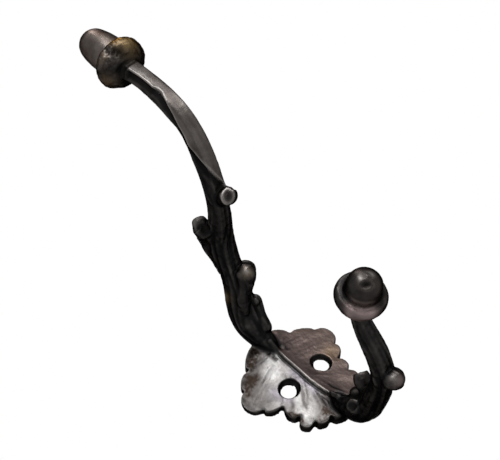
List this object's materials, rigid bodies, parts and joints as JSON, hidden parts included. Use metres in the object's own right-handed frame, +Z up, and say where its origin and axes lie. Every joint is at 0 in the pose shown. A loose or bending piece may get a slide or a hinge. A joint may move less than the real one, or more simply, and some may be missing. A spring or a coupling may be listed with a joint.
{
  "type": "hat and coat hook",
  "caption": "Cast metal wall hook shaped as twigs growing from an oak leaf plate, with a long upper arm and a short lower arm, each ended by an acorn.",
  "frame": {"origin": "midway between the two screw holes, on the wall plane that the back of the leaf bears on", "axes": "+X to the right seen from the room, +Y into the wall, +Z up the wall"},
  "size_m": [0.0493, 0.11, 0.1631],
  "materials": {
    "bronzed_brass": "satin"
  },
  "bodies": {
    "root": {"hook_casting": "bronzed_brass"}
  },
  "joints": []
}
